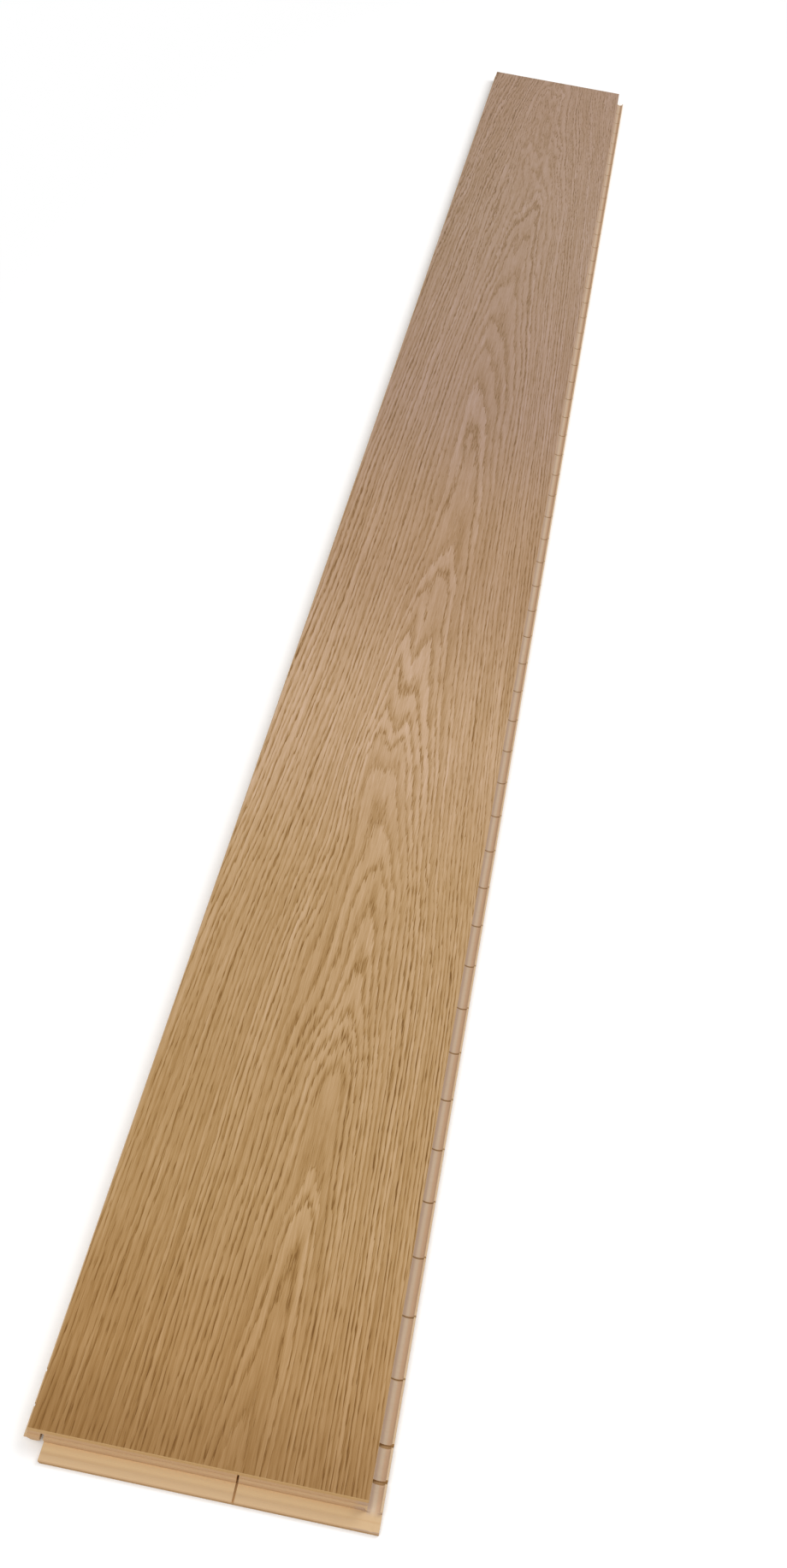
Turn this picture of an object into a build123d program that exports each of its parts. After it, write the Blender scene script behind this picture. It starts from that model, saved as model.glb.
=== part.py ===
from build123d import *
import os

# A three-layer click floorboard: an oak face, a core of softwood slats laid across the board, and
# a thin backing veneer. Lengths are in millimetres. X runs across the board, Y along it, Z up.
# The origin is the middle of the underside, under the middle of the oak face.
# The near end (-Y) has the lip, the right side (+X) the locking strip, the left side the tongue.

# Driving dimensions of the board
face_length = 2200.0
face_width = 180.0
board_thickness = 14.0
oak_thickness = 2.5
backing_thickness = 2.0
face_bevel = 0.4
edge_ease = 0.4

# Clearance between two boards once they are locked together
fit_gap = 0.2

# Tongue along the left side, and the groove that takes it on the right side
tongue_reach = 1.6
tongue_top_drop = 5.1
tongue_chamfer = 1.5
tongue_nose_height = 1.3
tongue_belly_drop = 11.1
tongue_heel_drop = 10.2

# Locking strip along the right side, with its ridge
strip_reach = 8.2
ridge_width = 1.2
ridge_top_drop = 9.0
ridge_chamfer = 0.3
strip_end_cutback = 14.0

# Slot beside the tongue that takes the neighbour's ridge, with a bevelled mouth
slot_width = 1.9
slot_roof_below_oak = 0.8
slot_mouth_bevel = 1.2
slot_mouth_height = 1.9

# Lip and rib on the near end, and the recess that takes them at the far end
lip_reach = 10.4
lip_height = 2.8
rib_reach = 1.25
rib_top_drop = 5.6
rib_height = 1.8
end_recess_clearance = 0.5

# Slats of the core, counted from the near end of the face
end_slat_width = 17.0
second_slat_width = 21.0
slat_pitch = 40.6
wide_slat_gap = 2.3
slat_gap = 0.35
end_slat_split = 111.5
end_slat_split_gap = 1.2

# Heights above the underside
top = board_thickness
core_top = board_thickness - oak_thickness
core_bottom = backing_thickness
lip_top = lip_height

# Joint planes of the four sides
left = -face_width / 2
right = face_width / 2
near = -face_length / 2
far = face_length / 2

# Places that follow from the two locking profiles
ridge_inner = strip_reach - ridge_width
tongue_width = ridge_inner - fit_gap
body_start = tongue_width + slot_width
recess_depth = lip_reach + end_recess_clearance
tongue_middle = (tongue_width - tongue_reach) / 2


def below_face(drop):
    """Height above the underside of a point that lies this far below the oak face."""
    return top - drop


def tongue_edge():
    """Left side of the core from its top down to the underside, tongue first, then the slot."""
    shoulder = below_face(tongue_top_drop)
    nose_top = shoulder - tongue_chamfer
    nose_bottom = nose_top - tongue_nose_height
    heel = (left + tongue_width, below_face(tongue_heel_drop))
    slot_roof = core_top - slot_roof_below_oak
    face = Polyline(
        (left, core_top), (left, shoulder), (left - tongue_reach, nose_top), (left - tongue_reach, nose_bottom)
    )
    belly = ThreePointArc(
        (left - tongue_reach, nose_bottom), (left + tongue_middle, below_face(tongue_belly_drop)), heel
    )
    roof_spring = slot_roof - slot_width / 2
    tongue_back = Line(heel, (left + tongue_width, roof_spring))
    roof = ThreePointArc(
        (left + tongue_width, roof_spring),
        (left + tongue_width + slot_width / 2, slot_roof),
        (left + body_start, roof_spring),
    )
    mouth = Polyline(
        (left + body_start, roof_spring),
        (left + body_start, slot_mouth_height),
        (left + body_start + slot_mouth_bevel, 0),
    )
    return face + belly + tongue_back + roof + mouth


def strip_edge():
    """Right side of the core from the underside up to its top: ridge, channel, then the joint face."""
    ridge_top = below_face(ridge_top_drop)
    shoulder = below_face(tongue_top_drop) + fit_gap
    groove_top = shoulder - tongue_chamfer
    groove_bottom = groove_top - tongue_nose_height - 2 * fit_gap
    groove_wall = right - tongue_reach - fit_gap
    heel = (right + ridge_inner, below_face(tongue_heel_drop) - fit_gap)
    ridge = Polyline(
        (right + strip_reach - edge_ease, 0),
        (right + strip_reach, edge_ease),
        (right + strip_reach, ridge_top - ridge_chamfer),
        (right + strip_reach - ridge_chamfer, ridge_top),
        (right + ridge_inner, ridge_top),
        heel,
    )
    channel = ThreePointArc(
        heel,
        (right + tongue_middle, below_face(tongue_belly_drop) - fit_gap),
        (groove_wall, groove_bottom),
    )
    groove = Polyline((groove_wall, groove_bottom), (groove_wall, groove_top), (right, shoulder), (right, core_top))
    return ridge + channel + groove


def long_section():
    """The board's section across its width, under the oak."""
    underside = Line((left + body_start + slot_mouth_bevel, 0), (right + strip_reach - edge_ease, 0))
    roof = Line((right, core_top), (left, core_top))
    return make_face(Plane.XZ * (tongue_edge() + underside + strip_edge() + roof))


def end_section():
    """The board's section along its length, under the oak: rib and lip near, their recess far."""
    rib_top = below_face(rib_top_drop)
    rib_bottom = rib_top - rib_height
    groove_top = rib_top + fit_gap
    groove_bottom = rib_bottom - fit_gap / 2
    groove_reach = rib_reach + fit_gap
    outline = Polyline(
        (near, core_top),
        (near, rib_top),
        (near - rib_reach, rib_top),
        (near - rib_reach, rib_bottom),
        (near, rib_bottom - rib_reach),
        (near, lip_top),
        (near - lip_reach + edge_ease, lip_top),
        (near - lip_reach, lip_top - edge_ease),
        (near - lip_reach, edge_ease),
        (near - lip_reach + edge_ease, 0),
        (far - recess_depth - edge_ease, 0),
        (far - recess_depth, edge_ease),
        (far - recess_depth, lip_top + fit_gap),
        (far, lip_top + fit_gap),
        (far, groove_bottom - groove_reach),
        (far - groove_reach, groove_bottom),
        (far - groove_reach, groove_top),
        (far, groove_top),
        (far, core_top),
        close=True,
    )
    return make_face(Plane.YZ * outline)


def box_between(low, high):
    """A box from its lowest corner to its highest."""
    size = [b - a for a, b in zip(low, high)]
    return Pos(*low) * Box(*size, align=(Align.MIN, Align.MIN, Align.MIN))


def milled_blank():
    """Everything under the oak, with the profiles of all four sides milled."""
    across = extrude(long_section(), amount=face_length, both=True)
    along = extrude(end_section(), amount=face_width, both=True)
    strip_stop = far - strip_end_cutback
    past_strip = box_between(
        (right, strip_stop, 0), (right + strip_reach, far, below_face(tongue_top_drop))
    )
    return (across & along) - past_strip


def slat_joints():
    """Middle and width of each gap between two slats, from the near end on."""
    joints = [
        (near + end_slat_width, wide_slat_gap),
        (near + end_slat_width + second_slat_width, wide_slat_gap),
    ]
    place = joints[-1][0] + slat_pitch
    while place < far - recess_depth - slat_pitch / 4:
        joints.append((place, slat_gap))
        place += slat_pitch
    return joints


def core_slats(blank):
    """The slats of the core, cut from the milled blank by the gaps between them."""
    low_x = left - tongue_reach
    high_x = right + strip_reach
    core = blank & box_between((low_x, near - lip_reach, core_bottom), (high_x, far, core_top))
    cuts = [
        box_between((low_x, place - gap / 2, core_bottom), (high_x, place + gap / 2, core_top))
        for place, gap in slat_joints()
    ]
    split = left + end_slat_split
    cuts.append(
        box_between(
            (split - end_slat_split_gap / 2, near - lip_reach, core_bottom),
            (split + end_slat_split_gap / 2, near + end_slat_width, core_top),
        )
    )
    return core - cuts


def backing_veneer(blank):
    """The thin backing under the slats, which runs out to the edges of lip and strip."""
    low = (left, near - lip_reach, 0)
    return blank & box_between(low, (right + strip_reach, far, core_bottom))


def oak_face():
    """The oak wearing layer, one plank with a small bevel around its face."""
    plank = box_between((left, near, core_top), (right, far, top))
    return chamfer(plank.faces().sort_by(Axis.Z)[-1].edges(), face_bevel)


os.makedirs("parts", exist_ok=True)
blank = milled_blank()
export_step(oak_face(), "parts/oak_face.step")
export_step(core_slats(blank), "parts/core_slats.step")
export_step(backing_veneer(blank), "parts/backing_veneer.step")
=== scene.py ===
# %% [markdown]
# Dressing a click floorboard. The board is three layers of wood: one oak plank on top, a core of
# softwood slats laid across it, and a thin backing. Its four sides carry milled click profiles. The
# frame brings those solids at their real size, so the lesson is about wood: how to write oak
# figure, softwood slats and cut edges as procedural materials that sit on the solids.

import math

import bmesh
import bpy
from mathutils import Matrix, Vector


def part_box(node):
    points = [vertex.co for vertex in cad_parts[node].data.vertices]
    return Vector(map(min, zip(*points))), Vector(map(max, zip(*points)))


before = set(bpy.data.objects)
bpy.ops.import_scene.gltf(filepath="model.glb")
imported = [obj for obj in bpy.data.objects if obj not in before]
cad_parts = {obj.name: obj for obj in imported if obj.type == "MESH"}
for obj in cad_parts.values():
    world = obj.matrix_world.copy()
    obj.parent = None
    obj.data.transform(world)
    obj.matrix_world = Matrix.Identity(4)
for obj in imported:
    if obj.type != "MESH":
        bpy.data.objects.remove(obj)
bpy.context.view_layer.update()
oak_low, oak_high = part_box("oak_face")
core_low, core_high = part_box("core_slats")
backing_low, backing_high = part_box("backing_veneer")
board_width = oak_high[0] - oak_low[0]
board_length = oak_high[1] - oak_low[1]
board_height = oak_high[2] - backing_low[2]
print("board", round(board_width, 4), "x", round(board_length, 4), "x", round(board_height, 4), "m")
print("strip", round(core_high[0] - oak_high[0], 4), "m past the face")
print("lip", round(oak_low[1] - core_low[1], 4), "m past the face")
print("backing", round(backing_high[2] - backing_low[2], 4), "m thick")

# %% [markdown]
# The photograph looks down along the board from just past its lip end, with the camera turned a
# little. A camera can be placed by hand in the viewport, or by a point to stand on, a point to
# look at and a roll. The second way keeps the numbers readable, so it is used here.

# %% Camera
camera_stand = Vector((0.0668, -1.5816, 0.8848))
camera_aim = Vector((0.0135, -0.5331, 0.0140))
camera_roll = math.radians(9.39)
camera_lens = 41.5
camera_sensor = 36.0
camera_nearest = 0.01


def photo_camera():
    """A camera that stands, aims and rolls as the named values say."""
    camera = bpy.data.objects.new("photo_camera", bpy.data.cameras.new("photo_camera"))
    bpy.context.scene.collection.objects.link(camera)
    forward = (camera_aim - camera_stand).normalized()
    turn = forward.to_track_quat("-Z", "Y").to_matrix().to_4x4()
    roll = Matrix.Rotation(camera_roll, 4, "Z")
    camera.matrix_world = Matrix.Translation(camera_stand) @ turn @ roll
    camera.data.lens = camera_lens
    camera.data.sensor_width = camera_sensor
    camera.data.clip_start = camera_nearest
    bpy.context.scene.camera = camera
    return camera


print("camera", tuple(round(v, 3) for v in photo_camera().location))

# %% [markdown]
# Every material below is a small network of nodes. Long chains of links are hard to read, so a few
# helpers write them as steps of a sum. One adds a node and fills its sockets from numbers or from
# other nodes' outputs. Three more add one kind of node each: arithmetic, a soft step from one range
# to another, and a mix of two colours. The wood's colours are written as they look on screen.

# %% Colours and nodes
def colour(red, green, blue):
    """A colour given as it looks on screen, 0 to 255, turned into the linear values shaders use."""
    parts = [c / 255 for c in (red, green, blue)]
    linear = [c / 12.92 if c <= 0.04045 else ((c + 0.055) / 1.055) ** 2.4 for c in parts]
    return (*linear, 1.0)


def fill(tree, node, inputs):
    """Fills a node's sockets. Inputs are numbers, colours or output sockets to link from."""
    for key, value in inputs.items():
        if isinstance(value, bpy.types.NodeSocket):
            tree.links.new(value, node.inputs[key])
        else:
            node.inputs[key].default_value = value


def add(tree, kind, inputs=None, **settings):
    """Adds a node with its settings and fills its sockets."""
    made = tree.nodes.new("ShaderNode" + kind)
    for key, value in settings.items():
        setattr(made, key, value)
    fill(tree, made, inputs or {})
    return made


def calc(tree, operation, first, second=0.0, third=0.0):
    """One step of arithmetic, as an output socket."""
    return add(tree, "Math", {0: first, 1: second, 2: third}, operation=operation).outputs[0]


def spread(tree, value, from_low, from_high, to_low=0.0, to_high=1.0):
    """Moves a value from one range into another, smoothly and held at the ends."""
    inputs = {"Value": value, 1: from_low, 2: from_high, 3: to_low, 4: to_high}
    return add(tree, "MapRange", inputs, interpolation_type="SMOOTHSTEP").outputs[0]


def mix(tree, amount, first, second, blend="MIX"):
    """Mixes two colours."""
    inputs = {0: amount, 6: first, 7: second}
    return add(tree, "Mix", inputs, data_type="RGBA", blend_type=blend).outputs[2]


print("mid grey in a shader is", round(colour(128, 128, 128)[0], 3))

# %% [markdown]
# The studio is a pale floor under two large soft lamps and an even sky. Large lamps give the soft
# shadow that a board of this height has indoors. The sky shows white where it is seen and stays
# dimmer for the light it sheds, which a Light Path node decides. The floor does the same away from
# the board, so that its shadow stays and the rest is plain white from any side. That white is only
# for show, so it isn't sampled as a light.

# %% Studio floor
floor_size = 40.0
plain_white = (1.0, 1.0, 1.0, 1.0)
floor_bounce = (0.80, 0.80, 0.80, 1.0)
floor_roughness = 0.9
shadow_shape = (1.0, 0.20, 0.0)
shadow_near = 0.26
shadow_far = 0.55


def seen_ray(tree):
    """1 for a ray that shows the background, be it in the camera, in a shine or through glass."""
    path = add(tree, "LightPath")
    seen = calc(tree, "MAXIMUM", path.outputs["Is Camera Ray"], path.outputs["Is Glossy Ray"])
    return calc(tree, "MAXIMUM", seen, path.outputs["Is Transmission Ray"])


def floor_material():
    """A pale floor that takes the board's shadow and is plain white away from it."""
    made = bpy.data.materials.new("studio_floor")
    made.use_nodes = True
    made.cycles.emission_sampling = "NONE"
    tree = made.node_tree
    surface = tree.nodes["Principled BSDF"]
    surface.inputs["Roughness"].default_value = floor_roughness
    seen = seen_ray(tree)
    tree.links.new(mix(tree, seen, floor_bounce, plain_white), surface.inputs["Base Color"])
    point = add(tree, "TexCoord").outputs["Object"]
    shaped = add(tree, "VectorMath", {0: point, 1: shadow_shape}, operation="MULTIPLY").outputs[0]
    away = add(tree, "VectorMath", {0: shaped}, operation="LENGTH").outputs["Value"]
    white = add(tree, "Emission", {"Color": plain_white, "Strength": 1.0})
    amount = calc(tree, "MULTIPLY", seen, spread(tree, away, shadow_near, shadow_far))
    both = add(tree, "MixShader", {0: amount, 1: surface.outputs[0], 2: white.outputs[0]})
    tree.links.new(both.outputs[0], tree.nodes["Material Output"].inputs["Surface"])
    return made


def make_floor():
    """A square floor under the board."""
    mesh = bpy.data.meshes.new("studio_floor")
    shape = bmesh.new()
    bmesh.ops.create_grid(shape, x_segments=1, y_segments=1, size=floor_size / 2)
    shape.to_mesh(mesh)
    shape.free()
    floor = bpy.data.objects.new("studio_floor", mesh)
    bpy.context.scene.collection.objects.link(floor)
    mesh.materials.append(floor_material())


make_floor()
print("floor", floor_size, "m wide")

# %% [markdown]
# A sky could be a picture of a room or a sky texture, but both would tint the wood. This one is even
# and almost neutral. It lights the board at a plain level and shows as white.

# %% Sky
sky_shed = (0.97, 0.98, 1.0, 1.0)
sky_light = 0.55


def make_sky():
    """An even sky, white where it is seen."""
    world = bpy.data.worlds.new("studio_sky")
    bpy.context.scene.world = world
    world.use_nodes = True
    tree = world.node_tree
    tree.nodes.clear()
    shed = add(tree, "Background", {"Color": sky_shed, "Strength": sky_light})
    white = add(tree, "Background", {"Color": plain_white, "Strength": 1.0})
    both = add(tree, "MixShader", {0: seen_ray(tree), 1: shed.outputs[0], 2: white.outputs[0]})
    out = add(tree, "OutputWorld")
    tree.links.new(both.outputs[0], out.inputs["Surface"])


make_sky()
bpy.context.scene.view_settings.view_transform = "Standard"
print("sky light", sky_light)

# %% [markdown]
# One lamp stands for a window beside the far end, and a weaker one fills from the lip end. A lamp
# is aimed the way the camera is, with a point to stand on and a point to look at.

# %% Studio lamps
def soft_lamp(name, place, aim, size, watts, light):
    """A square lamp that shines from one point towards another."""
    lamp = bpy.data.lights.new(name, "AREA")
    lamp.shape = "SQUARE"
    lamp.size = size
    lamp.energy = watts
    lamp.color = light
    holder = bpy.data.objects.new(name, lamp)
    bpy.context.scene.collection.objects.link(holder)
    holder.location = place
    holder.rotation_mode = "QUATERNION"
    holder.rotation_quaternion = (Vector(aim) - Vector(place)).to_track_quat("-Z", "Y")
    print(name, watts, "W")


soft_lamp(
    "window_lamp", place=(1.6, 1.0, 2.6), aim=(0.0, 0.0, 0.0), size=2.4, watts=58.0, light=(1.0, 0.99, 0.97)
)
soft_lamp(
    "fill_lamp", place=(-0.7, -2.6, 2.2), aim=(0.0, -0.8, 0.0), size=2.0, watts=42.0, light=(1.0, 0.98, 0.95)
)

# %% [markdown]
# Wood is never even. Noise gives soft clouds, and stretched noise gives streaks along the grain. All
# wood patterns read Object coordinates, which on these solids are metres in the board's own frame,
# so a stretch says how many cells fit in a metre. What changes slowly along the board, such as the
# depth of the trunk's heart, follows a curve through a few points, which is easier to read and to
# change than a formula.

# %% Noise and curves
def noise(tree, vector, stretch, detail=2.0, roughness=0.5):
    """Soft noise between 0 and 1, with its cells stretched by one number for each axis."""
    scaled = add(tree, "VectorMath", {0: vector, 1: stretch}, operation="MULTIPLY").outputs[0]
    inputs = {"Vector": scaled, "Scale": 1.0, "Detail": detail, "Roughness": roughness}
    return add(tree, "TexNoise", inputs).outputs["Fac"]


def wobble(tree, vector, stretch, reach, detail=1.0):
    """Soft noise that swings from minus reach to plus reach."""
    swing = calc(tree, "SUBTRACT", noise(tree, vector, stretch, detail), 0.5)
    return calc(tree, "MULTIPLY", swing, 2.0 * reach)


def curve(tree, value, points, low=0.0, high=1.0):
    """A smooth curve through (place, height) pairs. Places run 0 to 1, heights from low to high."""
    made = add(tree, "FloatCurve", {"Value": value})
    drawn = made.mapping.curves[0].points
    scaled = [(place, (height - low) / (high - low)) for place, height in points]
    drawn[0].location, drawn[1].location = scaled[0], scaled[-1]
    for place, height in scaled[1:-1]:
        drawn.new(place, height)
    for point in drawn:
        point.handle_type = "AUTO_CLAMPED"
    made.mapping.update()
    return calc(tree, "MULTIPLY_ADD", made.outputs[0], high - low, low)


def board_fraction(tree, along):
    """How far along the board a point is: 0 at the lip end, 1 at the far end."""
    return calc(tree, "DIVIDE", calc(tree, "SUBTRACT", along, oak_low[1]), board_length)


print("0.1 along the board is", round(0.1 * board_length, 3), "m from the lip end")

# %% [markdown]
# Oak sawn flat shows cathedral figure: growth rings cut lengthways, which close into pointed arches
# over the heart of the log and run straight beside it. An image could show that, but it would not
# follow the board's size. A Wave texture gives even stripes only. So the figure is written from the
# tree. The heart wandered to and fro under the face, and the arches follow it. The straight lines
# beside them keep to the trunk's usual line instead.

# %% Where the heart of the trunk ran
heart_place = (
    (0.00, 0.018), (0.05, 0.022), (0.14, 0.021), (0.21, 0.016), (0.28, 0.003), (0.34, 0.004),
    (0.43, 0.012), (0.57, -0.001), (0.65, 0.004), (0.77, 0.009), (0.90, -0.008), (1.00, 0.000),
)
usual_place = 0.021
usual_lean = 0.021
arch_zone = 0.052


def side_of_heart(tree, fraction, across):
    """Distance from the heart to the side, and how far beside the arches that is, 0 to 1."""
    heart = curve(tree, fraction, heart_place, low=-0.03, high=0.03)
    side = calc(tree, "SUBTRACT", across, heart)
    beside = spread(tree, calc(tree, "ABSOLUTE", side), 0.0, arch_zone)
    usual = calc(tree, "MULTIPLY_ADD", fraction, -usual_lean, usual_place)
    return calc(tree, "MULTIPLY_ADD", calc(tree, "SUBTRACT", heart, usual), beside, side), beside


print("arches reach", arch_zone * 1000, "mm to each side of the heart")

# %% [markdown]
# Over the heart, the face cuts into one more ring at each place where an arch closes. Beside the
# heart it cuts through them evenly, because a trunk tapers. The arches' places are metres from the
# lip end, and each one adds a ring. How deep the heart lay sets how wide an arch is.

# %% Rings that the face cuts
ring_width = 0.0028
arch_places = (
    0.080, 0.155, 0.187, 0.266, 0.290, 0.311, 0.333, 0.380, 0.450, 0.487, 0.580, 0.613, 0.650, 0.711,
    0.775, 0.853, 0.915, 1.033, 1.140, 1.257, 1.340, 1.450, 1.560, 1.680, 1.760, 1.850, 1.960, 2.060,
    2.150,
)
heart_depth = (
    (0.00, 0.014), (0.08, 0.014), (0.13, 0.008), (0.16, 0.009), (0.19, 0.018), (0.26, 0.030),
    (0.36, 0.034), (0.50, 0.026), (0.66, 0.022), (1.00, 0.036),
)
usual_depth = 0.022
side_taper = 24.0


def rings_cut(tree, fraction, deep, beside):
    """Rings that the face has cut through. The arches' places count over the heart, not beside it."""
    total = len(arch_places) + 1
    steps = [(place / board_length, number + 1) for number, place in enumerate(arch_places)]
    stepped = curve(tree, fraction, [(0.0, 0.0), *steps, (1.0, total)], high=total)
    stepped = calc(tree, "MULTIPLY_ADD", deep, -1 / ring_width, stepped)
    middle = total / 2 - usual_depth / ring_width
    even = calc(tree, "MULTIPLY_ADD", calc(tree, "SUBTRACT", fraction, 0.5), side_taper, middle)
    return add(tree, "Mix", {0: beside, 2: stepped, 3: even}).outputs[0]


print("rings every", ring_width * 1000, "mm, and", len(arch_places), "arches over the heart")

# %% [markdown]
# A ring is a circle round the heart, which lies a little under the face, so the ring's number grows
# with the distance from there. Real rings sway, more towards the far end of this board. Their edges
# look feathered where the arches close, their widths change from year to year, and they are a
# little crowded on the right. Where the heart split in two, an arch has a notch in its top.

# %% Counting the rings
heart_split = (
    (0.00, 0.0), (0.22, 0.0), (0.27, 0.8), (0.34, 1.0), (0.40, 0.0), (0.78, 0.0), (0.88, 0.8), (1.00, 0.4),
)
split_width = 0.011
right_crowding = 1.3
sways = (
    ((22.0, 2.2, 1.0), 0.0026),
    ((60.0, 6.0, 1.0), 0.0014),
    ((190.0, 16.0, 1.0), 0.0009),
    ((1100.0, 70.0, 1.0), 0.0006),
)
sway_along = ((0.00, 1.0), (0.55, 1.0), (0.72, 1.7), (0.86, 2.4), (1.00, 2.4))
feathers = (
    ((700.0, 12.0, 0.0), 0.012),
    ((2400.0, 60.0, 0.0), 0.006),
)
year_change = 0.45


def feathered(tree, point, along):
    """A place along the board, moved a little to and fro so that ring edges look feathered."""
    moved = 0.0
    for stretch, reach in feathers:
        moved = calc(tree, "ADD", moved, wobble(tree, point, stretch, reach))
    return calc(tree, "ADD", along, moved)


def ring_radius(tree, point, fraction, side, deep):
    """Distance from the heart to a point of the face, with its sway."""
    crowded = calc(tree, "MULTIPLY", side, calc(tree, "MULTIPLY_ADD", side, right_crowding, 1.0))
    depth_squared = calc(tree, "MULTIPLY", deep, deep)
    radius = calc(tree, "SQRT", calc(tree, "MULTIPLY_ADD", crowded, crowded, depth_squared))
    unrest = curve(tree, fraction, sway_along, high=3.0)
    for stretch, reach in sways:
        radius = calc(tree, "MULTIPLY_ADD", wobble(tree, point, stretch, reach), unrest, radius)
    return radius


def ring_count(tree, point):
    """Number of the growth ring at a point, with its fraction, and how far beside the arches it is."""
    place = add(tree, "SeparateXYZ", {0: point}).outputs
    fraction = board_fraction(tree, feathered(tree, point, place[1]))
    side, beside = side_of_heart(tree, fraction, place[0])
    notch = spread(tree, calc(tree, "ABSOLUTE", side), split_width, 0.0)
    notch = calc(tree, "MULTIPLY", notch, curve(tree, fraction, heart_split))
    deep = curve(tree, fraction, heart_depth, high=0.05)
    radius = ring_radius(tree, point, fraction, side, deep)
    count = calc(tree, "MULTIPLY_ADD", radius, 1 / ring_width, rings_cut(tree, fraction, deep, beside))
    count = calc(tree, "ADD", count, notch)
    inputs = {"W": count, "Scale": year_change, "Detail": 1.0}
    years = add(tree, "TexNoise", inputs, noise_dimensions="1D").outputs["Fac"]
    return calc(tree, "ADD", years, count), beside


print("rings sway by up to", round(sum(reach for _, reach in sways) * 1000, 1), "mm near the lip end")

# %% [markdown]
# A node group is a small machine with named inputs and outputs. Built once, it can be placed in any
# material with other values, and a material stays short. Its sockets belong to the group's
# interface, and two nodes inside stand for its way in and its way out.

# %% Node groups
def open_group(name, inputs, outputs):
    """A node group with named sockets. Each socket is given as (name, kind)."""
    group = bpy.data.node_groups.new(name, "ShaderNodeTree")
    for label, kind in inputs:
        group.interface.new_socket(label, in_out="INPUT", socket_type="NodeSocket" + kind)
    for label, kind in outputs:
        group.interface.new_socket(label, in_out="OUTPUT", socket_type="NodeSocket" + kind)
    entry = group.nodes.new("NodeGroupInput")
    leave = group.nodes.new("NodeGroupOutput")
    return group, entry, leave


def use_group(tree, group, inputs):
    """Places a node group in a material, fills its sockets and gives its outputs."""
    made = tree.nodes.new("ShaderNodeGroup")
    made.node_tree = group
    fill(tree, made, inputs)
    return made.outputs


print("groups so far:", len(bpy.data.node_groups))

# %% [markdown]
# The figure group turns ring numbers into what the eye sees. Early wood starts a ring with a dark
# porous line that fades into the denser late wood, and that line is broken into strokes. Every ring
# gets its own tone by chance, clouds drawn out along the grain shift the tone of whole streaks, and
# the finest noise is the fibre.

# %% Oak figure as a node group
line_rise = (0.91, 1.00)
line_fall = (0.62, 0.04)
faintest_line = 0.4
line_by_chance = 0.6
line_over_heart = 1.10
line_beside = 0.22
stroke_size = (900.0, 60.0, 0.0)
stroke_steps = (0.36, 0.62)
stroke_strength = (0.70, 1.15)
cloud_size = (24.0, 1.3, 0.0)
streak_size = (110.0, 3.0, 0.0)
cloud_share = 0.5
chance_share = 0.5
coarse_fibre = (620.0, 16.0, 40.0)
thin_fibre = (2200.0, 70.0, 40.0)


def ring_line(group, point, phase, chance, beside):
    """The dark line of each ring, a little stronger beside the arches."""
    line = calc(group, "MAXIMUM", spread(group, phase, *line_fall), spread(group, phase, *line_rise))
    strength = calc(group, "MULTIPLY_ADD", chance, line_by_chance, faintest_line)
    place = calc(group, "MULTIPLY_ADD", beside, line_beside, line_over_heart)
    strokes = spread(group, noise(group, point, stroke_size, detail=1.0), *stroke_steps, *stroke_strength)
    strength = calc(group, "MULTIPLY", calc(group, "MULTIPLY", strength, place), strokes)
    return calc(group, "MULTIPLY", line, strength)


def ring_tone(group, point, chance):
    """Each ring's own tone, with clouds and streaks along the grain."""
    cloud = wobble(group, point, cloud_size, reach=0.5, detail=2.0)
    streak = wobble(group, point, streak_size, reach=0.5, detail=2.0)
    own = calc(group, "MULTIPLY", calc(group, "SUBTRACT", chance, 0.5), chance_share)
    return calc(group, "ADD", calc(group, "MULTIPLY_ADD", cloud, cloud_share, streak), own)


def fine_fibre(group, point):
    """The finest noise, drawn out along the grain."""
    coarse = wobble(group, point, coarse_fibre, reach=0.5, detail=2.0)
    return calc(group, "ADD", coarse, wobble(group, point, thin_fibre, reach=0.5))


def oak_figure():
    """Ring lines, their tone and the fibre, from a point in metres."""
    outputs = [("Line", "Float"), ("Tone", "Float"), ("Fibre", "Float")]
    group, entry, leave = open_group("oak_figure", [("Vector", "Vector")], outputs)
    point = entry.outputs["Vector"]
    rings, beside = ring_count(group, point)
    phase = calc(group, "FRACT", rings)
    number = calc(group, "FLOOR", rings)
    chance = add(group, "TexWhiteNoise", {"W": number}, noise_dimensions="1D").outputs["Value"]
    group.links.new(ring_line(group, point, phase, chance, beside), leave.inputs["Line"])
    group.links.new(ring_tone(group, point, chance), leave.inputs["Tone"])
    group.links.new(fine_fibre(group, point), leave.inputs["Fibre"])
    return group


figure_group = oak_figure()
print("oak figure of", len(figure_group.nodes), "nodes")

# %% [markdown]
# Oak is full of long open vessels, which show as short dark dashes along the grain. They crowd in
# the soft early wood at each ring line. They are a group of their own, so that another porous wood
# can place them with other sizes.

# %% Vessel dashes as a node group
dash_limit = 0.78
dash_softness = 0.07
cover_reach = 0.3


def vessel_dashes():
    """Short dashes along Y. Sizes are dashes per metre, and Cover is how many show."""
    inputs = [("Vector", "Vector"), ("Stretch", "Vector"), ("Cover", "Float")]
    group, entry, leave = open_group("vessel_dashes", inputs, [("Mask", "Float")])
    point, stretch, cover = (entry.outputs[label] for label, _ in inputs)
    grain = noise(group, point, stretch, detail=1.0)
    limit = calc(group, "SUBTRACT", dash_limit, calc(group, "MULTIPLY", cover, cover_reach))
    mask = spread(group, grain, limit, calc(group, "ADD", limit, dash_softness))
    group.links.new(mask, leave.inputs["Mask"])
    return group


dash_group = vessel_dashes()
print("vessel dashes of", len(dash_group.nodes), "nodes")

# %% [markdown]
# Softwood has no such vessels, but every sawn or peeled face of it shows fine threads along the
# fibre. The slats and the backing both place this group, each with its own direction.

# %% Wood fibre as a node group
fibre_detail = 2.0
fibre_roughness = 0.6


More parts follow.
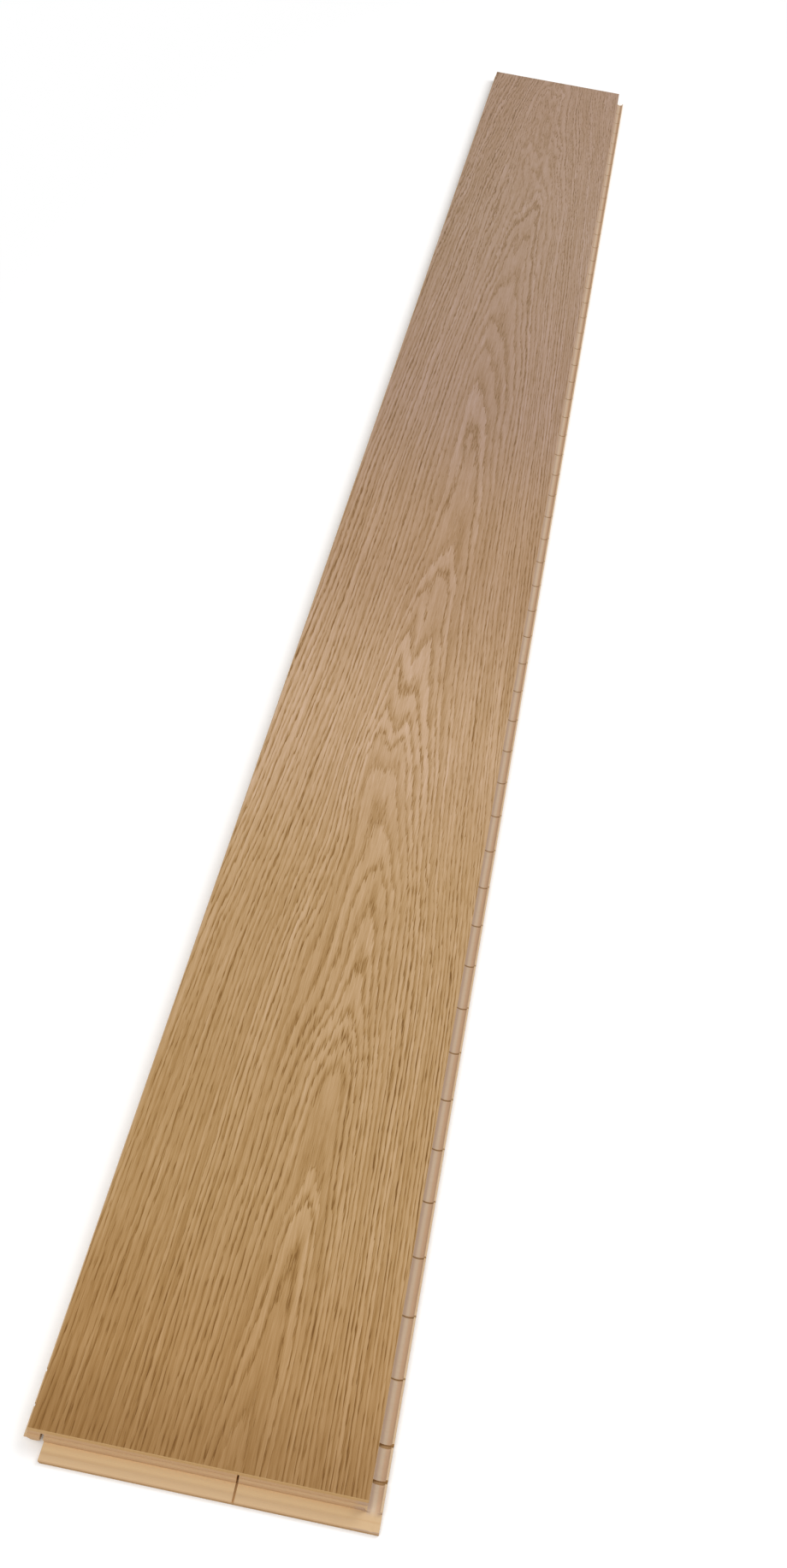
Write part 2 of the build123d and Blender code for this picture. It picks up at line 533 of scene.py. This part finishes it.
def wood_fibre():
    """Fine threads. Stretch is how many fit in a metre: few along the fibre, many across it."""
    inputs = [("Vector", "Vector"), ("Stretch", "Vector")]
    group, entry, leave = open_group("wood_fibre", inputs, [("Fibre", "Float")])
    point, stretch = (entry.outputs[label] for label, _ in inputs)
    fibre = noise(group, point, stretch, fibre_detail, fibre_roughness)
    group.links.new(fibre, leave.inputs["Fibre"])
    return group


fibre_group = wood_fibre()
print("wood fibre of", len(fibre_group.nodes), "nodes")

# %% [markdown]
# All three layers are bare or thinly lacquered wood, so their materials start and end alike: they
# read the point in the board's own frame, and they end in a colour and a fine relief on a surface
# with little shine. A CAD node keeps its shape and only changes what it is painted with.

# %% Start, finish and place a wood
relief_height = 0.0002


def start_wood(name):
    """A new material, its node tree, the point on the board and that point's X, Y and Z."""
    made = bpy.data.materials.new(name)
    made.use_nodes = True
    tree = made.node_tree
    point = add(tree, "TexCoord").outputs["Object"]
    return made, tree, point, add(tree, "SeparateXYZ", {0: point}).outputs


def finish_wood(tree, tone, height, roughness, shine, strength):
    """Links a colour and a fine relief to the surface, which gets its roughness and shine."""
    surface = tree.nodes["Principled BSDF"]
    tree.links.new(tone, surface.inputs["Base Color"])
    surface.inputs["Roughness"].default_value = roughness
    surface.inputs["Specular IOR Level"].default_value = shine
    relief = add(tree, "Bump", {"Strength": strength, "Distance": relief_height, "Height": height})
    tree.links.new(relief.outputs["Normal"], surface.inputs["Normal"])


def paint(node, material):
    """Gives a CAD node one material in place of its own."""
    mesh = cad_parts[node].data
    mesh.materials.clear()
    mesh.materials.append(material)
    print(node, "is", material.name)


print("relief", relief_height * 1000, "mm deep at most")

# %% [markdown]
# The oak face has a thin matt lacquer. Its golden brown turns greyer towards the far end, partly the wood's
# own tone and partly a painted grey sheen of the window there, so the tone is a list of colours placed along
# the board. A Color Ramp could hold them too. Here they are mixed one after another, each with the same soft
# step that the masks use.

# %% Tone of the oak
# The oak's own tone along the board, with a painted grey sheen towards the far end.
oak_tones_and_painted_light = (
    (0.00, colour(142, 105, 59)),
    (0.03, colour(156, 119, 72)),
    (0.08, colour(163, 128, 82)),
    (0.20, colour(168, 134, 91)),
    (0.28, colour(174, 141, 104)),
    (0.40, colour(159, 126, 92)),
    (0.55, colour(150, 120, 94)),
    (0.75, colour(150, 121, 94)),
    (1.00, colour(149, 118, 91)),
)


def tone_along(tree, fraction, tones):
    """The colour at a place along the board, mixed between neighbours in a list."""
    shade = tones[0][1]
    for (start, _), (end, tone) in zip(tones, tones[1:]):
        shade = mix(tree, spread(tree, fraction, start, end), shade, tone)
    return shade


print("oak tone in", len(oak_tones_and_painted_light), "steps")

# %% [markdown]
# The figure makes that tone lighter or darker: ring lines, streaks, fibre and vessels each take
# their share. The lines' depth and the tone also change a little along the board and across it. A
# rise is the change for each metre to the right. Lines and vessels are fine grooves too, so they
# give the relief.

# %% How the figure shades the oak
face_light = 1.14
line_depth = 0.40
tone_depth = 0.24
fibre_depth = 0.40
dash_depth = 0.22
dash_size = (1700.0, 80.0, 1700.0)
dashes_anywhere = 0.2
dashes_at_line = 0.8
line_groove = 0.4
depth_along = (
    (0.00, 0.68), (0.05, 0.82), (0.14, 0.88), (0.24, 0.77), (0.50, 0.78), (0.70, 0.80), (1.00, 0.95),
)
depth_rise = (
    (0.00, 3.0), (0.06, 3.4), (0.14, 4.4), (0.22, -1.5), (0.36, -2.0), (0.50, 0.0), (1.00, -1.5),
)
tone_rise = (
    (0.00, 0.85), (0.08, 0.75), (0.18, 0.30), (0.27, -0.40), (0.38, -0.50), (0.50, 0.00), (0.65, 0.25),
    (0.80, 0.40), (1.00, 0.20),
)


def vessels(tree, point, line):
    """Vessel dashes, which crowd at the ring lines."""
    cover = calc(tree, "MULTIPLY_ADD", line, dashes_at_line, dashes_anywhere)
    return use_group(tree, dash_group, {"Vector": point, "Stretch": dash_size, "Cover": cover})["Mask"]


def shaded_line(tree, line, across, fraction):
    """The ring line, as deep as it is at this place along and across the board."""
    depth = calc(tree, "MULTIPLY_ADD", across, curve(tree, fraction, depth_rise, low=-3.0, high=5.0), 1.0)
    depth = calc(tree, "MULTIPLY", depth, curve(tree, fraction, depth_along))
    return calc(tree, "MULTIPLY", line, depth)


def oak_shade(tree, point, across, fraction):
    """How light the oak is at a point, and how high its surface stands."""
    figure = use_group(tree, figure_group, {"Vector": point})
    dashes = vessels(tree, point, figure["Line"])
    line = shaded_line(tree, figure["Line"], across, fraction)
    shade = calc(tree, "MULTIPLY_ADD", line, -line_depth, face_light)
    shade = calc(tree, "MULTIPLY_ADD", figure["Tone"], tone_depth, shade)
    shade = calc(tree, "MULTIPLY_ADD", figure["Fibre"], fibre_depth, shade)
    shade = calc(tree, "MULTIPLY_ADD", dashes, -dash_depth, shade)
    rise = curve(tree, fraction, tone_rise, low=-1.0)
    shade = calc(tree, "MULTIPLY_ADD", across, rise, shade)
    grooves = calc(tree, "MULTIPLY_ADD", figure["Line"], line_groove, dashes)
    return shade, calc(tree, "MULTIPLY", grooves, -1.0)


print("a ring line at full depth takes", line_depth, "of the light")

# %% [markdown]
# Old oak darkens towards brown, so the shade works least on red and most on blue: a power above 1
# makes green and blue fall faster. The cut edges of the plank carry no lacquer, and the height picks
# between face and edge.

# %% Oak material
oak_edge = colour(185, 149, 101)
edge_start = 0.00005
edge_full = 0.00035
green_fall = 1.36
blue_fall = 2.40


def browned(tree, shade):
    """A shade as a colour, browner where it is darker."""
    green = calc(tree, "POWER", shade, green_fall)
    blue = calc(tree, "POWER", shade, blue_fall)
    return add(tree, "CombineColor", {0: shade, 1: green, 2: blue}).outputs[0]


def oak_material():
    """Lacquered oak with its figure, vessels and bare cut edges."""
    made, tree, point, place = start_wood("lacquered_oak")
    fraction = board_fraction(tree, place[1])
    shade, height = oak_shade(tree, point, place[0], fraction)
    face = mix(tree, 1.0, tone_along(tree, fraction, oak_tones_and_painted_light), browned(tree, shade), "MULTIPLY")
    on_edge = spread(tree, place[2], oak_high[2] - edge_start, oak_high[2] - edge_full)
    wood = mix(tree, on_edge, face, oak_edge)
    finish_wood(tree, wood, height, roughness=0.48, shine=0.18, strength=0.35)
    return made


paint("oak_face", oak_material())

# %% [markdown]
# The core is pine or spruce cut into slats, each from another piece of timber, so each has its own
# tone. A slat lies across the board, so its fibres run along X: the lip shows them lengthways, and
# the two long sides show end grain. The slat's number comes from the place along the board. Chance
# turns that number into a tone and into a shift of the pattern, so that the slats differ.

# %% Softwood of the slats
slat_pitch = 0.0406
first_joint = 0.017
second_joint = 0.038
pine_pale = colour(203, 174, 136)
pine_warm = colour(196, 162, 119)
pine_line = colour(184, 144, 98)
tone_difference = 0.75
pine_ring_size = (3.0, 420.0, 420.0)
pine_ring_steps = (0.50, 0.72)
pine_ring_amount = 0.40
pine_fibre_size = (60.0, 2400.0, 2400.0)
pine_fibre_amount = 0.16


def slat_number(tree, from_end):
    """Whole number of the slat at a distance from the lip end's joint."""
    rest = calc(tree, "DIVIDE", calc(tree, "SUBTRACT", from_end, second_joint), slat_pitch)
    count = calc(tree, "MAXIMUM", calc(tree, "FLOOR", rest), -1.0)
    first = calc(tree, "LESS_THAN", from_end, first_joint)
    return calc(tree, "SUBTRACT", count, first)


def slat_wood(tree, point, from_end):
    """Each slat's own tone with its rings and fibre, and the fibre by itself."""
    chance = add(tree, "TexWhiteNoise", {"W": slat_number(tree, from_end)}, noise_dimensions="1D").outputs
    moved = add(tree, "VectorMath", {0: point, 1: chance["Color"]}, operation="ADD").outputs[0]
    tone = calc(tree, "MULTIPLY", chance["Value"], tone_difference)
    wood = mix(tree, tone, pine_pale, pine_warm)
    late = spread(tree, noise(tree, moved, pine_ring_size), *pine_ring_steps)
    wood = mix(tree, calc(tree, "MULTIPLY", late, pine_ring_amount), wood, pine_line)
    fibre = use_group(tree, fibre_group, {"Vector": moved, "Stretch": pine_fibre_size})["Fibre"]
    return mix(tree, calc(tree, "MULTIPLY", fibre, pine_fibre_amount), wood, pine_line), fibre


print("slats every", slat_pitch * 1000, "mm")

# %% [markdown]
# The joint faces and the lip carry painted light. The upright joint faces get painted shade, pinkish near
# the strip, and the lip gets painted light at its root, under the rib, where the rib's shadow falls. Each of
# these is a tone with a few masks, and each mask is a step, mostly a soft one, at a place measured from the
# sides of the oak face or from the underside.

# %% Painted shade and light on the joint faces and the lip
# Painted shade on the upright joint faces, which look along the board.
painted_end_face_shade = colour(186, 149, 111)
# Painted light on the lip's root under the rib, where the rib's shadow falls.
painted_lip_root_light = colour(226, 196, 150)
# Painted shade, pinkish: on the strip beside the joint and at the joint faces' corner near it.
painted_strip_shade = colour(176, 150, 130)
joint_margin = 0.0005
end_face_shade_amount = 0.75
corner_start = 0.0090
corner_full = 0.0030
corner_shade_amount = 0.70
lip_top = 0.0028
lip_margin = 0.0003
root_start = 0.0065
root_full = 0.0030
root_right_end = 0.0120
root_light_amount = 0.70


def tint(tree, wood, tone, amount, *masks):
    """Mixes a tone into the wood, as strongly as the amount and all the masks allow."""
    for mask in masks:
        amount = calc(tree, "MULTIPLY", amount, mask)
    return mix(tree, amount, wood, tone)


def end_joint_tone(tree, wood, place, end_on):
    """Painted shade on the upright faces at both ends, pinkish near the strip, and painted light at the root
    of the lip.
    """
    across, along, height = place
    at_joint = calc(tree, "GREATER_THAN", calc(tree, "ABSOLUTE", along), oak_high[1] - joint_margin)
    # Painted shade on the upright joint faces, pinkish at their corner near the strip.
    wood = tint(tree, wood, painted_end_face_shade, end_face_shade_amount, end_on, at_joint)
    corner = spread(tree, across, oak_high[0] - corner_start, oak_high[0] - corner_full)
    wood = tint(tree, wood, painted_strip_shade, corner_shade_amount, end_on, at_joint, corner)
    # Painted light on the lip's root: low down, near the joint and away from the strip.
    low = calc(tree, "LESS_THAN", height, lip_top + lip_margin)
    root = spread(tree, along, oak_low[1] - root_start, oak_low[1] - root_full)
    open_side = spread(tree, across, oak_high[0], oak_high[0] - root_right_end)
    return tint(tree, wood, painted_lip_root_light, root_light_amount, low, root, open_side)


# The lip's pale root is painted light.
print("the lip is pale within", root_full * 1000, "mm of the joint")

# %% [markdown]
# The locking strip is greyer than the rest, most in its channel and less on its ridge. Painted shade makes
# it brown at the foot of the ridge and pinkish beside the joint, and a dark line shows where two slats meet.
# The tones start where the oak face starts, so the corner of the lip keeps its own. The first two
# slat joints are wide gaps in the solids, so the lines start at the third.

# %% Tones of the strip
ridge_inner = 0.0070
strip_grey = colour(198, 183, 165)
channel_grey = 0.65
ridge_grey = 0.30
fade_start = -0.0030
fade_full = 0.0020
# Painted shade at the foot of the ridge, on its inner wall.
painted_hollow_shade = colour(196, 156, 122)
hollow_start = 0.0035
hollow_full = 0.0052
hollow_edge = 0.0004
hollow_shade_amount = 0.55
# Where the painted shade lies on the strip beside the joint.
shade_start = 0.0030
shade_full = 0.0012
shade_amount = 0.85
joint_line = colour(150, 116, 74)
joint_line_start = 0.0010
joint_line_full = 0.0003
joint_line_from = -0.0020
joint_line_amount = 0.85


def slat_joint_line(tree, along):
    """A line at each joint between two slats, from the third joint on."""
    from_third = calc(tree, "SUBTRACT", along, oak_low[1] + second_joint + slat_pitch)
    to_joint = calc(tree, "PINGPONG", from_third, slat_pitch / 2)
    line = spread(tree, to_joint, joint_line_start, joint_line_full)
    return calc(tree, "MULTIPLY", line, calc(tree, "GREATER_THAN", from_third, joint_line_from))


def strip_tone(tree, wood, place):
    """The strip's greyer wood, with painted shade, brown at the ridge's foot and pinkish beside the joint,
    and its slat joints.
    """
    across, along, _ = place
    past = calc(tree, "SUBTRACT", across, oak_high[0])
    on_strip = calc(tree, "GREATER_THAN", past, 0.0)
    on_ridge = calc(tree, "GREATER_THAN", past, ridge_inner)
    beside_face = spread(tree, along, oak_low[1] + fade_start, oak_low[1] + fade_full)
    grey = calc(tree, "MULTIPLY_ADD", on_ridge, ridge_grey - channel_grey, channel_grey)
    wood = tint(tree, wood, strip_grey, grey, on_strip, beside_face)
    # Painted shade at the foot of the ridge.
    hollow = spread(tree, past, hollow_start, hollow_full)
    foot = spread(tree, past, ridge_inner, ridge_inner - hollow_edge)
    wood = tint(tree, wood, painted_hollow_shade, hollow_shade_amount, hollow, foot, beside_face)
    # Painted shade on the strip beside the joint.
    shaded = spread(tree, past, shade_start, shade_full)
    wood = tint(tree, wood, painted_strip_shade, shade_amount, on_strip, shaded, beside_face)
    return tint(tree, wood, joint_line, joint_line_amount, on_strip, slat_joint_line(tree, along))


print("the ridge starts", round(ridge_inner * 1000, 1), "mm past the face")

# %% [markdown]
# The walls inside the open gaps get hardly any light. Painted shade, a darker brown on the walls, keeps a
# gap on the strip brown, and the narrow, deep split of the end slat gets very pale painted light on its
# walls, so that it doesn't show black. The normal tells which way a face looks: along X in the split, and
# along Y in the gaps and at the ends.

# %% Core material
face_turn = (0.3, 0.8)
end_slat_split = 0.1115
split_reach = 0.0008
# Painted shade on the walls of the gaps between slats, and painted light on the walls of the end slat's
# split.
painted_gap_shade = colour(176, 136, 84)
painted_split_light = colour(250, 214, 160)


def gap_tone(tree, wood, place, end_on, side_on):
    """Painted shade on the walls of the gaps between slats, and painted light on the walls of the split in
    the end slat.
    """
    across, along, _ = place
    inside = calc(tree, "LESS_THAN", calc(tree, "ABSOLUTE", along), oak_high[1] - joint_margin)
    wood = tint(tree, wood, painted_gap_shade, end_on, inside)
    at_split = calc(tree, "COMPARE", across, oak_low[0] + end_slat_split, split_reach)
    return tint(tree, wood, painted_split_light, at_split, side_on)


def core_material():
    """Bare milled softwood slats."""
    made, tree, point, place = start_wood("milled_pine")
    facing = add(tree, "SeparateXYZ", {0: add(tree, "TexCoord").outputs["Normal"]}).outputs
    side_on = spread(tree, calc(tree, "ABSOLUTE", facing[0]), *face_turn)
    end_on = spread(tree, calc(tree, "ABSOLUTE", facing[1]), *face_turn)
    wood, fibre = slat_wood(tree, point, calc(tree, "SUBTRACT", place[1], oak_low[1]))
    wood = end_joint_tone(tree, wood, place, end_on)
    wood = strip_tone(tree, wood, place)
    wood = gap_tone(tree, wood, place, end_on, side_on)
    finish_wood(tree, wood, fibre, roughness=0.72, shine=0.28, strength=0.40)
    return made


paint("core_slats", core_material())

# %% [markdown]
# The backing is a peeled veneer with its fibres along the board. Its edges and its underside show,
# and its top only at the bottom of the gaps. Clouds and fibre together pick between a pale and a
# dark brown.

# %% Backing material
backing_pale = colour(188, 152, 108)
backing_dark = colour(146, 110, 68)
backing_cloud_size = (16.0, 3.0, 16.0)
backing_fibre_size = (1500.0, 40.0, 1500.0)


def backing_material():
    """Bare peeled veneer."""
    made, tree, point, _ = start_wood("peeled_backing")
    cloud = noise(tree, point, backing_cloud_size, detail=3.0)
    fibre = use_group(tree, fibre_group, {"Vector": point, "Stretch": backing_fibre_size})["Fibre"]
    shade = calc(tree, "MULTIPLY", calc(tree, "ADD", fibre, cloud), 0.5)
    wood = mix(tree, shade, backing_dark, backing_pale)
    finish_wood(tree, wood, fibre, roughness=0.75, shine=0.28, strength=0.40)
    return made


paint("backing_veneer", backing_material())
